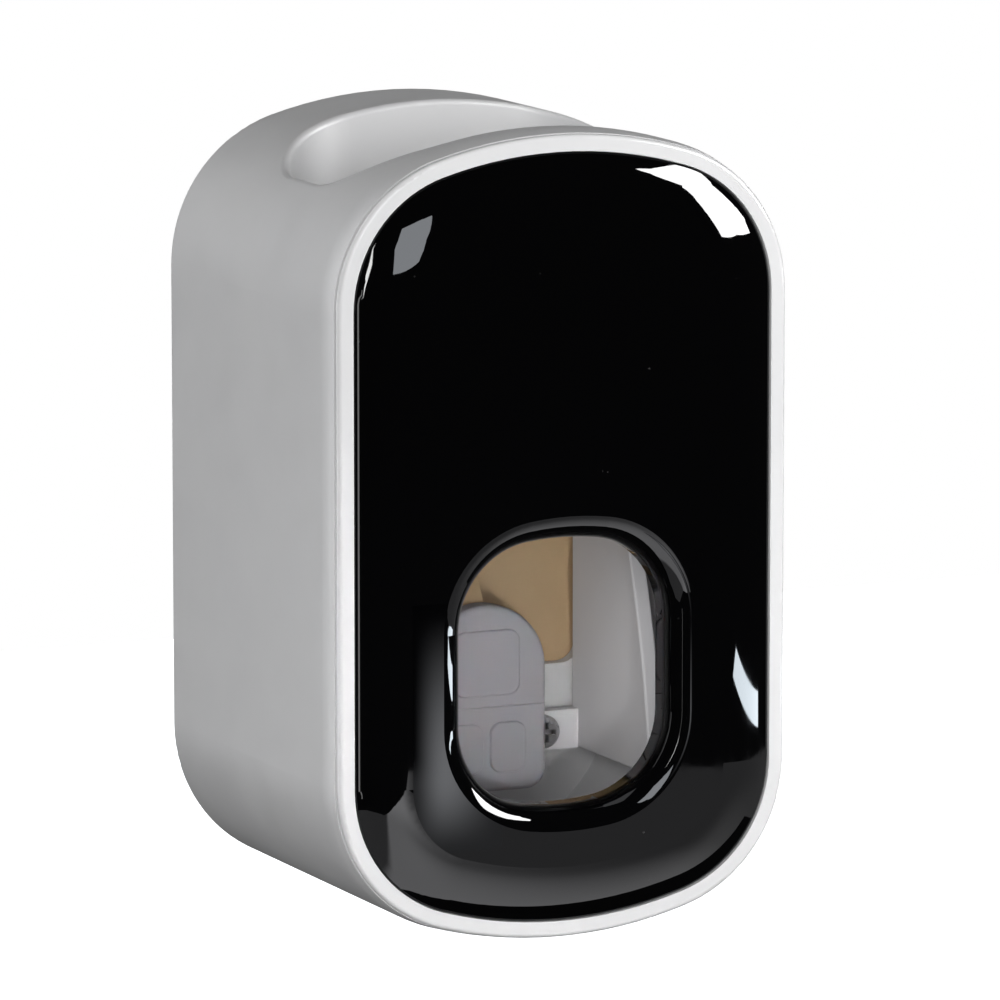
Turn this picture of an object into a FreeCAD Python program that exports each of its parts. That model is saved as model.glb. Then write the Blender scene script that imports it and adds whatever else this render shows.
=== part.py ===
import FreeCAD, Part
import math
import os
from FreeCAD import Vector

# Push-type toothpaste dispenser that hangs on a wall plate. All sizes are millimetres.
# X runs to the right, Z up. The wall is the plane Y = 0 and the front faces -Y, so places along
# the depth are given as "out", the distance out from the wall.

# Body outline: straight sides, round corners and a crowned top and bottom
body_width = 70.0
body_height = 115.0
corner_radius = 22.0
crown_radius = 67.0

# Housing shell
wall_gap = 0.6
housing_depth = 59.4
shell_wall = 2.0
front_wall = 1.2
rebate_depth = 3.0
roll_radius = 18.0
roll_depth = 3.6
back_edge_radius = 1.2
partition_thickness = 2.0
screw_boss_height = 2.0
screw_boss_radius = 3.4

# Tube hole in the top, with the sleeve that hangs from it
tube_hole_side_land = 7.5
tube_hole_back_land = 16.15
tube_hole_front_land = 6.75
tube_hole_corner_share = 0.767
sleeve_wall = 1.8
sleeve_length = 18.5
hole_edge_radius = 0.8

# Wall plate, its adhesive pad and its hooks
adhesive_side_inset = 8.0
adhesive_height = 56.0
adhesive_corner = 4.0
adhesive_thickness = 1.0
plate_side_room = 6.0
plate_height = 70.0
plate_corner = 6.0
plate_thickness = 2.4
plate_edge_radius = 0.6
hang_gap = 0.6
window_side_room = 7.0
window_height = 32.5
window_corner = 3.0
window_top_z = 4.0
upper_hook_width = 24.0
lower_hook_width = 6.0
lower_hook_x = 12.0
lower_hook_top_z = -31.5
hook_neck = 2.1
hook_lip_height = 2.9
hook_lip_thickness = 1.4
hook_rest_gap = 0.1
hook_side_gap = 0.4
hook_lip_gap = 0.3
lift_travel = 3.3
lift_margin = 0.4

# Mechanism frame
flange_thickness = 2.0
cheek_side_room = 7.0
cheek_thickness = 2.4
cheek_edge_radius = 0.4
cheek_corner_radius = 5.0
cheek_foot_room = 16.9
lobe_foot_out = 34.6
lobe_front_out = 32.0
lobe_front_z = -24.3
lobe_top_out = 27.0
lobe_top_z = -8.0
waist_out = 31.0
waist_z = 10.0
deck_setback = 8.0
deck_bottom_z = 26.0
deck_thickness = 2.4
bridge_bottom_z = 8.5
foot_bridge_height = 5.8
frame_screw_inset = 6.0
top_screw_drop = 5.0
foot_screw_rise = 2.9
pump_screw_x = 16.9
spigot_gap = 0.3

# Screws
screw_length = 5.6
screw_radius = 1.25
screw_hole_radius = 1.3
screw_clear_radius = 1.6
screw_head_radius = 2.5
screw_head_height = 1.7
screw_head_rounding = 0.85
screw_drive_width = 0.8
screw_drive_depth = 0.9
screw_drive_length = 3.0

# Pump
inlet_setback = 8.5
nozzle_setback = 13.0
pump_axis_z = 17.0
bore_radius = 6.0
barrel_radius = 8.0
barrel_back_out = 26.5
barrel_setback = 6.0
pump_bar_end_gap = 2.5
pump_bar_back_gap = 3.0
pump_bar_front_reach = 5.5
pump_bar_thickness = 2.2
pump_ear_radius = 2.9
pump_ear_length = 6.0
inlet_boss_radius = 7.0
inlet_port_radius = 2.3
inlet_seat_radius = 5.5
inlet_seat_depth = 2.6
outlet_boss_radius = 6.5
outlet_boss_bottom_z = 5.0
outlet_port_radius = 3.2
outlet_seat_radius = 5.0
outlet_seat_depth = 2.4
sliding_gap = 0.05
seat_gap = 0.1

plug_depth = 3.4
plug_flange = 2.0
plug_groove_width = 1.3
plug_groove_depth = 1.05
plug_groove_inset = 1.0
plug_seal_section = 1.06

collar_flange_radius = 11.6
collar_flange_height = 2.0
collar_floor = 1.0
collar_cup_foot_radius = 9.6
collar_cup_top_radius = 8.9
collar_neck_radius = 6.5
collar_neck_length = 6.0
collar_passage_radius = 2.6
collar_spigot_radius = 5.3
ring_outer_radius = 14.0
ring_inner_radius = 10.2
ring_lip_height = 1.5
ring_chamfer = 0.8

flap_thickness = 0.8
flap_radius = 3.5
flap_slot = 0.4
flap_slot_angle = 270.0

duckbill_flange_radius = 4.9
duckbill_radius = 3.9
duckbill_wall = 0.9
duckbill_tip_z = 1.4
duckbill_tip_thickness = 1.3
duckbill_slit = 0.4

nozzle_outer_radius = 8.0
nozzle_tip_radius = 5.8
nozzle_bore_radius = 4.6
nozzle_top_z = 8.7
nozzle_taper_z = 4.4
nozzle_tip_z = 0.2

# Piston, its rod and the return spring
piston_front_out = 30.6
piston_length = 6.0
piston_groove_inset = 1.15
piston_groove_width = 1.9
piston_groove_depth = 1.65
piston_seal_section = 1.64
rod_radius = 3.0
rod_stub_radius = 1.95
rod_stub_length = 1.3
button_radius = 8.0
button_thickness = 1.85
button_front_out = 19.5
button_edge_radius = 0.5
spring_radius = 7.0
spring_wire_radius = 0.4
spring_turns = 3.5
spring_end_gap = 0.05
spring_checks_per_turn = 72

# Push lever: hub on the hinge pin, nose above it and an arm with a peg for the press pad below it
hinge_out = 15.0
hinge_z = 4.0
hub_radius = 4.2
hub_end_gap = 0.4
pin_radius = 1.5
pin_seat_gap = 0.03
pin_overhang = 2.2
pin_groove_depth = 0.4
pin_chamfer = 0.3
clip_radius = 3.0
clip_thickness = 0.8
clip_gap = 0.25
clip_mouth = 2.2
nose_out = 14.5
nose_radius = 3.0
nose_width = 12.0
upper_arm_thickness = 5.0
bumper_radius = 4.0
bumper_gap = 0.2
bumper_edge_radius = 0.5
arm_width = 3.2
arm_depth = 8.0
arm_foot_z = -24.0
arm_foot_drop = 0.5
arm_boss_radius = 4.5
arm_boss_length = 3.0
arm_peg_radius = 2.0
arm_peg_length = 1.6

# Press pad on the lever's peg, with raised fields above and below its crease
pad_width = 19.0
pad_front_out = 34.5
pad_thickness = 3.0
pad_top_z = -13.7
pad_bottom_z = -41.0
pad_corner = 3.0
pad_edge_radius = 0.7
pad_field_height = 0.5
pad_field_corner = 1.8
pad_field_edge_radius = 0.3
pad_upper_field_x = 5.2
pad_upper_field_top_z = -17.3
pad_upper_field_foot_z = -26.9
pad_lower_field_inner_x = 0.5
pad_lower_field_outer_x = 6.2
pad_lower_field_top_z = -30.8
pad_lower_field_foot_z = -38.2
pad_crease_z = -28.3
pad_crease_width = 0.6
pad_crease_depth = 0.5

# Front cover: white bezel, domed panel with the brush mouth, bonding tape and magnets
cover_gap = 0.3
bezel_inset = 0.5
bezel_proud = 1.2
bezel_edge_radius = 0.7
shoulder_inset = 1.45
web_thickness = 1.8
web_inner_inset = 7.5
skirt_inset = 2.3
skirt_wall = 1.6
skirt_depth = 1.7
panel_inset = 2.95
panel_edge_gap = 0.12
panel_proud = 3.0
panel_seat_depth = 0.6
panel_wall = 2.0
panel_pocket_inset = 9.5
panel_roll_radius = 16.0
panel_roll_width = 8.0
panel_edge_radius = 0.5
tape_thickness = 0.3
tape_outer_inset = 3.3
tape_inner_inset = 7.2
mouth_width = 31.9
mouth_height = 38.1
mouth_corner = 12.0
mouth_crown = 40.0
mouth_z = -19.0
lip_radius = 3.4
lip_wall = 2.0
lip_reach = 2.6
magnet_radius = 3.0
magnet_thickness = 1.7
magnet_pocket_gap = 0.05
magnet_floor_gap = 0.1
magnet_post_radius = 4.2
magnet_post_length = 6.0
post_web = 3.0
magnet_reach = 15.3
magnet_angle = 46.0
post_setback = 4.8

# How far a cutting shape runs past the face that it opens, and how near counts as the same place
overrun = 1.0
same_place = 0.001
parallel_share = 0.001

full_turn = 360.0
quarter_turn = 90.0

# Places worked out from the sizes above
front_out = wall_gap + housing_depth
tube_hole_width = body_width - 2 * tube_hole_side_land
tube_hole_depth = housing_depth - tube_hole_back_land - tube_hole_front_land
tube_hole_corner = tube_hole_corner_share * tube_hole_depth / 2
tube_hole_out = wall_gap + tube_hole_back_land + tube_hole_depth / 2
sleeve_bottom_z = body_height / 2 - sleeve_length
plate_width = body_width - 2 * plate_side_room
adhesive_width = plate_width - 2 * adhesive_side_inset
window_width = body_width - 2 * window_side_room
plate_front = adhesive_thickness + plate_thickness
partition_back = plate_front + hang_gap
partition_front = partition_back + partition_thickness
flange_back = partition_front + screw_boss_height
flange_front = flange_back + flange_thickness
deck_top_z = deck_bottom_z + deck_thickness
deck_front_out = front_out - deck_setback
cheek_x = body_width / 2 - shell_wall - cheek_side_room
cheek_bottom_z = cheek_foot_room - body_height / 2
frame_half_width = cheek_x + cheek_thickness
frame_screw_x = cheek_x - frame_screw_inset
socket_out = barrel_back_out + inlet_setback
nozzle_out = front_out - nozzle_setback
barrel_front_out = front_out - barrel_setback
pad_back_out = pad_front_out - pad_thickness
pad_field_out = pad_front_out + pad_field_height
panel_front_out = front_out + panel_proud
panel_back_out = front_out - panel_seat_depth
panel_roll_height = math.sqrt(panel_roll_radius ** 2 - panel_roll_width ** 2)
panel_edge_out = panel_front_out - panel_roll_radius + panel_roll_height
lip_back_out = front_out - lip_reach
post_front_out = front_out - post_setback
web_back = panel_back_out - tape_thickness - web_thickness


def place(x, out, z):
    return Vector(x, -out, z)


def block(x_low, x_high, out_low, out_high, z_low, z_high):
    """Box between two limits on each axis."""
    size = Vector(x_high - x_low, out_high - out_low, z_high - z_low)
    return Part.makeBox(size.x, size.y, size.z, place(x_low, out_high, z_low))


def rod_along_depth(radius, out_low, out_high, x, z):
    return Part.makeCylinder(radius, out_high - out_low, place(x, out_low, z), Vector(0, -1, 0))


def rod_along_height(radius, z_low, z_high, x, out):
    return Part.makeCylinder(radius, z_high - z_low, place(x, out, z_low), Vector(0, 0, 1))


def rod_across(radius, x_low, x_high, out, z):
    return Part.makeCylinder(radius, x_high - x_low, place(x_low, out, z), Vector(1, 0, 0))


def joined(shapes):
    return shapes[0].fuse(shapes[1:]).removeSplitter()


def both_sides(shape):
    """The shape and its mirror image on the other side of the middle."""
    return [shape, shape.mirror(Vector(0, 0, 0), Vector(1, 0, 0))]


def corner_centre(width, height, corner, crown):
    """Middle of the arc that meets the straight side and the crown of an arched outline."""
    corner_x = width / 2 - corner
    return corner_x, height / 2 - crown + math.sqrt((crown - corner) ** 2 - corner_x ** 2)


def arched_block(width, height, corner, crown, out_low, out_high, z_mid):
    """Upright block with straight sides, round corners and a crowned top and bottom."""
    half = width / 2
    top = height / 2
    corner_x, corner_z = corner_centre(width, height, corner, crown)
    turn = math.atan2(corner_z - top + crown, corner_x)

    def at(side, up, x, z):
        return place(side * x, out_low, z_mid + up * z)

    def on_corner(angle):
        return corner_x + corner * math.cos(angle), corner_z + corner * math.sin(angle)

    edges = []
    for side in (1, -1):
        edges.append(Part.makeLine(at(side, -1, half, corner_z), at(side, 1, half, corner_z)))
        for up in (1, -1):
            start, middle, end = on_corner(0), on_corner(turn / 2), on_corner(turn)
            points = [at(side, up, *spot) for spot in (start, middle, end)]
            edges.append(Part.Arc(*points).toShape())
    for up in (1, -1):
        end = on_corner(turn)
        points = [at(1, up, *end), at(1, up, 0, top), at(-1, up, *end)]
        edges.append(Part.Arc(*points).toShape())
    outline = Part.Wire(Part.__sortEdges__(edges))
    return Part.Face(outline).extrude(Vector(0, out_low - out_high, 0))


def body_block(inset, out_low, out_high):
    """Block with the body's outline, drawn in by an inset."""
    return arched_block(body_width - 2 * inset, body_height - 2 * inset, corner_radius - inset,
                        crown_radius - inset, out_low, out_high, 0)


def mouth_block(outset, out_low, out_high):
    """Block with the brush mouth's outline, let out by an outset."""
    return arched_block(mouth_width + 2 * outset, mouth_height + 2 * outset, mouth_corner + outset,
                        mouth_crown + outset, out_low, out_high, mouth_z)


def plate_block(width, height, corner, out_low, out_high, x_mid, z_mid):
    """Upright plate with round corners."""
    solid = block(x_mid - width / 2, x_mid + width / 2, out_low, out_high,
                  z_mid - height / 2, z_mid + height / 2)
    return solid.makeFillet(corner, edges_along(solid, Vector(0, 1, 0)))


def sleeve_block(outset, z_low, z_high):
    """Upright block with the tube hole's outline, let out by an outset."""
    half_width = tube_hole_width / 2 + outset
    half_depth = tube_hole_depth / 2 + outset
    solid = block(-half_width, half_width, tube_hole_out - half_depth, tube_hole_out + half_depth,
                  z_low, z_high)
    return solid.makeFillet(tube_hole_corner + outset, edges_along(solid, Vector(0, 0, 1)))


def edges_along(shape, direction):
    """Straight edges that run along a direction."""
    lines = [edge for edge in shape.Edges if isinstance(edge.Curve, Part.Line)]
    return [edge for edge in lines if edge.Curve.Direction.cross(direction).Length < parallel_share]


def edges_at(shape, out):
    """Edges that lie wholly at one distance out from the wall."""
    return [edge for edge in shape.Edges
            if max(abs(edge.BoundBox.YMin + out), abs(edge.BoundBox.YMax + out)) < same_place]


def turned(profile, out):
    """Solid of revolution about an upright axis: the profile is radius and height pairs."""
    points = [place(radius, out, z) for radius, z in profile]
    face = Part.Face(Part.makePolygon(points + points[:1]))
    return face.revolve(place(0, out, 0), Vector(0, 0, 1), full_turn)


def corner_places(reach):
    """One place in each corner of the body, at a reach out from the middle of the corner's arc."""
    corner_x, corner_z = corner_centre(body_width, body_height, corner_radius, crown_radius)
    x = corner_x + reach * math.cos(math.radians(magnet_angle))
    z = corner_z + reach * math.sin(math.radians(magnet_angle))
    return [(side * x, up * z) for side in (1, -1) for up in (1, -1)]


def frame_screw_places():
    heights = (deck_bottom_z - top_screw_drop, cheek_bottom_z + foot_screw_rise)
    return [(side * frame_screw_x, z) for side in (1, -1) for z in heights]


def hook(width, x, top_z):
    """Neck that stands out of the plate, with a lip that turns up in front of the partition."""
    lip_back = partition_front + hook_lip_gap
    lip_front = lip_back + hook_lip_thickness
    low, high = x - width / 2, x + width / 2
    neck = block(low, high, adhesive_thickness, lip_front, top_z - hook_neck, top_z)
    lip = block(low, high, lip_back, lip_front, top_z - hook_neck, top_z + hook_lip_height)
    return [neck, lip]


def adhesive_pad():
    return plate_block(adhesive_width, adhesive_height, adhesive_corner, 0, adhesive_thickness, 0, 0)


def wall_plate():
    plate = plate_block(plate_width, plate_height, plate_corner, adhesive_thickness, plate_front, 0, 0)
    plate = plate.makeFillet(plate_edge_radius, edges_at(plate, plate_front))
    hooks = hook(upper_hook_width, 0, window_top_z - hook_rest_gap)
    for side in (1, -1):
        hooks += hook(lower_hook_width, side * lower_hook_x, lower_hook_top_z)
    return joined([plate] + hooks)


def shell_outside():
    """Whole outer form of the housing, its front edge rolled inwards."""
    full_front = front_out - roll_depth + roll_radius
    solid = body_block(0, wall_gap, full_front)
    solid = solid.makeFillet(roll_radius, edges_at(solid, full_front))
    solid = solid.makeFillet(back_edge_radius, edges_at(solid, wall_gap))
    return solid.common(body_block(-overrun, 0, front_out))


def shell_openings():
    """Window behind the lever and the slots that the lower hooks pass through."""
    out_low, out_high = partition_back - overrun, partition_front + overrun
    window_z = window_top_z - window_height / 2
    cuts = [plate_block(window_width, window_height, window_corner, out_low, out_high, 0, window_z)]
    slot_top = lower_hook_top_z + hook_rest_gap
    slot_bottom = lower_hook_top_z - hook_neck - lift_travel - lift_margin
    half = lower_hook_width / 2 + hook_side_gap
    for side in (1, -1):
        x = side * lower_hook_x
        cuts.append(block(x - half, x + half, out_low, out_high, slot_bottom, slot_top))
    return cuts


def tube_hole_rim(solid):
    """Edges where the tube hole breaks out through the crowned top."""
    half = tube_hole_width / 2 + overrun
    depth_mid = tube_hole_depth / 2 + overrun
    return [edge for edge in solid.Edges
            if edge.BoundBox.ZMin > sleeve_bottom_z + shell_wall and edge.BoundBox.XMax < half
            and edge.BoundBox.XMin > -half and abs(edge.CenterOfMass.y + tube_hole_out) < depth_mid]


def housing_shell():
    outside = shell_outside().cut(sleeve_block(0, sleeve_bottom_z - overrun, body_height))
    outside = outside.makeFillet(hole_edge_radius, tube_hole_rim(outside))
    kept = [sleeve_block(sleeve_wall, sleeve_bottom_z, body_height)]
    post_back = post_front_out - magnet_post_length
    for x, z in corner_places(magnet_reach) + corner_places(magnet_reach + post_web):
        kept.append(rod_along_depth(magnet_post_radius, post_back, post_front_out, x, z))
    for x, z in frame_screw_places():
        kept.append(rod_along_depth(screw_boss_radius, partition_back, flange_back, x, z))
    inside = body_block(shell_wall, partition_front, front_out + overrun).cut(kept)
    recess = body_block(shell_wall, 0, partition_back)
    rebate = body_block(front_wall, front_out - rebate_depth, front_out + overrun)
    shell = outside.cut([inside, recess, rebate])
    cuts = shell_openings()
    for x, z in frame_screw_places():
        cuts.append(rod_along_depth(screw_hole_radius, partition_back - overrun, flange_back + overrun, x, z))
    pocket_back = post_front_out - magnet_thickness - magnet_floor_gap
    for x, z in corner_places(magnet_reach):
        cuts.append(rod_along_depth(magnet_radius + magnet_pocket_gap, pocket_back,
                                    post_front_out + overrun, x, z))
    return shell.cut(cuts).removeSplitter()


def cheek():
    """Right-hand side plate: a round lobe beside the press pad, a waist, and a foot for the deck."""
    def at(out, z):
        return place(cheek_x, out, z)

    foot = at(lobe_foot_out, cheek_bottom_z)
    lobe_top = at(lobe_top_out, lobe_top_z)
    deck_corner = at(deck_front_out, deck_bottom_z)
    edges = [
        Part.makeLine(at(flange_back, cheek_bottom_z), foot),
        Part.Arc(foot, at(lobe_front_out, lobe_front_z), lobe_top).toShape(),
        Part.Arc(lobe_top, at(waist_out, waist_z), deck_corner).toShape(),
        Part.makeLine(deck_corner, at(deck_front_out, deck_top_z)),
        Part.makeLine(at(deck_front_out, deck_top_z), at(flange_back, deck_top_z)),
        Part.makeLine(at(flange_back, deck_top_z), at(flange_back, cheek_bottom_z)),
    ]
    plate = Part.Face(Part.Wire(edges)).extrude(Vector(cheek_thickness, 0, 0))
    lobe_ends = [edge for edge in edges_along(plate, Vector(1, 0, 0))
                 if edge.CenterOfMass.z < 0 and -edge.CenterOfMass.y > flange_front]
    plate = plate.makeFillet(cheek_corner_radius, lobe_ends)
    rim = [edge for edge in plate.Edges if isinstance(edge.Curve, Part.Circle)
           and edge.CenterOfMass.z < lobe_top_z and edge.BoundBox.XLength < cheek_thickness / 2]
    return plate.makeFillet(cheek_edge_radius, rim)


def mechanism_frame():
    deck = block(-cheek_x, cheek_x, flange_back, deck_front_out, deck_bottom_z, deck_top_z)
    top_bridge = block(-cheek_x, cheek_x, flange_back, flange_front, bridge_bottom_z, deck_top_z)
    foot_top_z = cheek_bottom_z + foot_bridge_height
    foot_bridge = block(-cheek_x, cheek_x, flange_back, flange_front, cheek_bottom_z, foot_top_z)
    frame = joined([deck, top_bridge, foot_bridge] + both_sides(cheek()))
    half = frame_half_width + overrun
    cuts = [rod_across(pin_radius + pin_seat_gap, -half, half, hinge_out, hinge_z)]
    cuts.append(rod_along_height(collar_spigot_radius + spigot_gap, deck_bottom_z - overrun,
                                 deck_top_z + overrun, 0, socket_out))
    for x, z in frame_screw_places():
        cuts.append(rod_along_depth(screw_clear_radius, flange_back - overrun, flange_front + overrun, x, z))
    for side in (1, -1):
        cuts.append(rod_along_height(screw_clear_radius, deck_bottom_z - overrun, deck_top_z + overrun,
                                     side * pump_screw_x, socket_out))
    return frame.cut(cuts).removeSplitter()


def screw():
    """Cross-head screw at the origin: its head stands on the plane Z = 0 and its shank points down."""
    shank = Part.makeCylinder(screw_radius, screw_length, Vector(0, 0, -screw_length))
    head = Part.makeCylinder(screw_head_radius, screw_head_height)
    head = head.makeFillet(screw_head_rounding, [head.Edges[0]])
    drive_bottom = screw_head_height - screw_drive_depth
    bar = Part.makeBox(screw_drive_length, screw_drive_width, screw_head_height,
                       Vector(-screw_drive_length / 2, -screw_drive_width / 2, drive_bottom))
    across = bar.copy()
    across.rotate(Vector(0, 0, 0), Vector(0, 0, 1), quarter_turn)
    return shank.fuse(head).cut([bar, across]).removeSplitter()


def mechanism_screws():
    screws = []
    for x, z in frame_screw_places():
        one = screw()
        one.rotate(Vector(0, 0, 0), Vector(1, 0, 0), quarter_turn)
        one.translate(place(x, flange_front, z))
        screws.append(one)
    for side in (1, -1):
        one = screw()
        one.translate(place(side * pump_screw_x, socket_out, deck_top_z))
        screws.append(one)
    return Part.makeCompound(screws)


def pump_cylinder():
    barrel = rod_along_depth(barrel_radius, barrel_back_out, barrel_front_out, 0, pump_axis_z)
    bar_half = cheek_x - pump_bar_end_gap
    bar = block(-bar_half, bar_half, barrel_back_out + pump_bar_back_gap, socket_out + pump_bar_front_reach,
                deck_bottom_z - pump_bar_thickness, deck_bottom_z)
    inlet = rod_along_height(inlet_boss_radius, pump_axis_z, deck_bottom_z, 0, socket_out)
    outlet = rod_along_height(outlet_boss_radius, outlet_boss_bottom_z, pump_axis_z, 0, nozzle_out)
    ears = [rod_along_height(pump_ear_radius, deck_bottom_z - pump_ear_length, deck_bottom_z,
                             side * pump_screw_x, socket_out) for side in (1, -1)]
    pump = joined([barrel, bar, inlet, outlet] + ears)
    seat_bottom = deck_bottom_z - inlet_seat_depth
    cuts = [
        rod_along_depth(bore_radius, barrel_back_out - overrun, barrel_front_out + overrun, 0, pump_axis_z),
        rod_along_height(inlet_port_radius, pump_axis_z, deck_bottom_z, 0, socket_out),
        rod_along_height(inlet_seat_radius, seat_bottom, deck_bottom_z + overrun, 0, socket_out),
        rod_along_height(outlet_port_radius, outlet_boss_bottom_z, pump_axis_z, 0, nozzle_out),
        rod_along_height(outlet_seat_radius, outlet_boss_bottom_z - overrun,
                         outlet_boss_bottom_z + outlet_seat_depth, 0, nozzle_out),
    ]
    for side in (1, -1):
        cuts.append(rod_along_height(screw_hole_radius, deck_bottom_z - pump_ear_length - overrun,
                                     deck_bottom_z + overrun, side * pump_screw_x, socket_out))
    return pump.cut(cuts).removeSplitter()


def cylinder_plug():
    plug_radius = bore_radius - sliding_gap
    plug_back = barrel_front_out - plug_depth
    plug = rod_along_depth(plug_radius, plug_back, barrel_front_out, 0, pump_axis_z)
    flange = rod_along_depth(barrel_radius, barrel_front_out, barrel_front_out + plug_flange, 0, pump_axis_z)
    groove_back = plug_back + plug_groove_inset
    groove = rod_along_depth(bore_radius, groove_back, groove_back + plug_groove_width, 0, pump_axis_z)
    core = rod_along_depth(plug_radius - plug_groove_depth, plug_back, barrel_front_out, 0, pump_axis_z)
    return joined([plug.cut(groove.cut(core)), flange])


def seal_ring(section, outer_radius, out):
    """Round-section ring that fills a groove and reaches the bore."""
    middle = place(0, out, pump_axis_z)
    return Part.makeTorus(outer_radius - section / 2, section / 2, middle, Vector(0, -1, 0))


def plug_seal():
    middle = barrel_front_out - plug_depth + plug_groove_inset + plug_groove_width / 2
    return seal_ring(plug_seal_section, bore_radius - sliding_gap / 2, middle)


def inlet_collar():
    flange_top = deck_top_z + collar_flange_height
    neck_bottom = flange_top + collar_floor
    top = neck_bottom + collar_neck_length
    spigot_bottom = deck_bottom_z - inlet_seat_depth + flap_thickness + seat_gap
    return turned([
        (collar_passage_radius, spigot_bottom), (collar_spigot_radius, spigot_bottom),
        (collar_spigot_radius, deck_top_z), (collar_flange_radius, deck_top_z),
        (collar_flange_radius, flange_top), (collar_cup_foot_radius, flange_top),
        (collar_cup_top_radius, top), (collar_neck_radius, top),
        (collar_neck_radius, neck_bottom), (collar_passage_radius, neck_bottom),
    ], socket_out)


def collar_ring():
    seat = deck_top_z + collar_flange_height + seat_gap
    top = seat + ring_lip_height
    wall = collar_flange_radius + seat_gap
    return turned([
        (wall, deck_top_z), (ring_outer_radius, deck_top_z), (ring_outer_radius, top - ring_chamfer),
        (ring_outer_radius - ring_chamfer, top), (ring_inner_radius, top), (ring_inner_radius, seat),
        (wall, seat),
    ], socket_out)


def inlet_valve_flap():
    """Thin disc whose middle is cut free on three sides, so that it lifts as a flap."""
    low = deck_bottom_z - inlet_seat_depth
    disc = rod_along_height(collar_spigot_radius, low, low + flap_thickness, 0, socket_out)
    ring = Part.makeCylinder(flap_radius, flap_thickness, place(0, socket_out, low), Vector(0, 0, 1),
                             flap_slot_angle)
    core = rod_along_height(flap_radius - flap_slot, low, low + flap_thickness, 0, socket_out)
    return disc.cut(ring.cut(core))


def wedge(top_thickness, tip_thickness, z_top, z_tip):
    """Block across the whole bill that thins from its top to its tip."""
    profile = [(-top_thickness / 2, z_top), (-tip_thickness / 2, z_tip),
               (tip_thickness / 2, z_tip), (top_thickness / 2, z_top)]
    points = [place(-duckbill_flange_radius, nozzle_out + depth, z) for depth, z in profile]
    face = Part.Face(Part.makePolygon(points + points[:1]))
    return face.extrude(Vector(2 * duckbill_flange_radius, 0, 0))


def outlet_valve():
    flange_top = outlet_boss_bottom_z + outlet_seat_depth - seat_gap
    flange = rod_along_height(duckbill_flange_radius, outlet_boss_bottom_z, flange_top, 0, nozzle_out)
    outer = rod_along_height(duckbill_radius, duckbill_tip_z, outlet_boss_bottom_z, 0, nozzle_out)
    bill = outer.common(wedge(2 * duckbill_radius, duckbill_tip_thickness,
                              outlet_boss_bottom_z, duckbill_tip_z))
    inner_radius = duckbill_radius - duckbill_wall
    bore = rod_along_height(inner_radius, duckbill_tip_z, flange_top, 0, nozzle_out)
    hollow = bore.common(wedge(2 * inner_radius, duckbill_slit, flange_top, duckbill_tip_z))
    return joined([flange, bill]).cut(hollow)


def nozzle_tip():
    cap_bore = outlet_boss_radius + sliding_gap
    return turned([
        (cap_bore, nozzle_top_z), (nozzle_outer_radius, nozzle_top_z), (nozzle_outer_radius, nozzle_taper_z),
        (nozzle_tip_radius, nozzle_tip_z), (nozzle_bore_radius, nozzle_tip_z),
        (nozzle_bore_radius, outlet_boss_bottom_z), (cap_bore, outlet_boss_bottom_z),
    ], nozzle_out)


def lever_pin():
    half = frame_half_width + pin_overhang
    pin = rod_across(pin_radius, -half, half, hinge_out, hinge_z)
    pin = pin.makeChamfer(pin_chamfer, [edge for edge in pin.Edges if isinstance(edge.Curve, Part.Circle)])
    clip_x = frame_half_width + clip_gap
    groove = rod_across(pin_radius + overrun, clip_x, clip_x + clip_thickness, hinge_out, hinge_z)
    core = rod_across(pin_radius - pin_groove_depth, -half, half, hinge_out, hinge_z)
    return pin.cut([ring.cut(core) for ring in both_sides(groove)])


def pin_clips():
    """Open rings that snap into the pin's grooves outside the cheeks."""
    clip_x = frame_half_width + clip_gap
    ring = rod_across(clip_radius, clip_x, clip_x + clip_thickness, hinge_out, hinge_z)
    inner, outer = clip_x - overrun, clip_x + clip_thickness + overrun
    hole = rod_across(pin_radius - pin_groove_depth, inner, outer, hinge_out, hinge_z)
    mouth = block(inner, outer, hinge_out - clip_mouth / 2, hinge_out + clip_mouth / 2,
                  hinge_z - clip_radius - overrun, hinge_z)
    return Part.makeCompound(both_sides(ring.cut([hole, mouth])))


def lever_bumper():
    front = nose_out - nose_radius - bumper_gap
    bumper = rod_along_depth(bumper_radius, flange_front, front, 0, pump_axis_z)
    return bumper.makeFillet(bumper_edge_radius, edges_at(bumper, front))


def slanted_bar(width, out_a, z_a, out_b, z_b, thickness):
    """Bar with parallel long faces between two points of the middle plane."""
    along = Vector(0, out_a - out_b, z_b - z_a).normalize()
    side = Vector(0, -along.z, along.y) * (thickness / 2)
    start, end = place(-width / 2, out_a, z_a), place(-width / 2, out_b, z_b)
    points = [start + side, end + side, end - side, start - side]
    return Part.Face(Part.makePolygon(points + points[:1])).extrude(Vector(width, 0, 0))


def arched_pad():
    """Flat pad with a half-round top and a level foot."""
    half = pad_width / 2
    arch_z = pad_top_z - half
    corners = [place(-half, pad_back_out, arch_z), place(-half, pad_back_out, pad_bottom_z),
               place(half, pad_back_out, pad_bottom_z), place(half, pad_back_out, arch_z)]
    edges = [Part.makeLine(start, end) for start, end in zip(corners, corners[1:])]
    edges.append(Part.Arc(corners[-1], place(0, pad_back_out, pad_top_z), corners[0]).toShape())
    return Part.Face(Part.Wire(edges)).extrude(Vector(0, -pad_thickness, 0))


def raised_field(x_low, x_high, z_low, z_high):
    """Block with round corners that stands a little way out of the pad's face."""
    return plate_block(x_high - x_low, z_high - z_low, pad_field_corner, pad_back_out, pad_field_out,
                       (x_low + x_high) / 2, (z_low + z_high) / 2)


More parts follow.
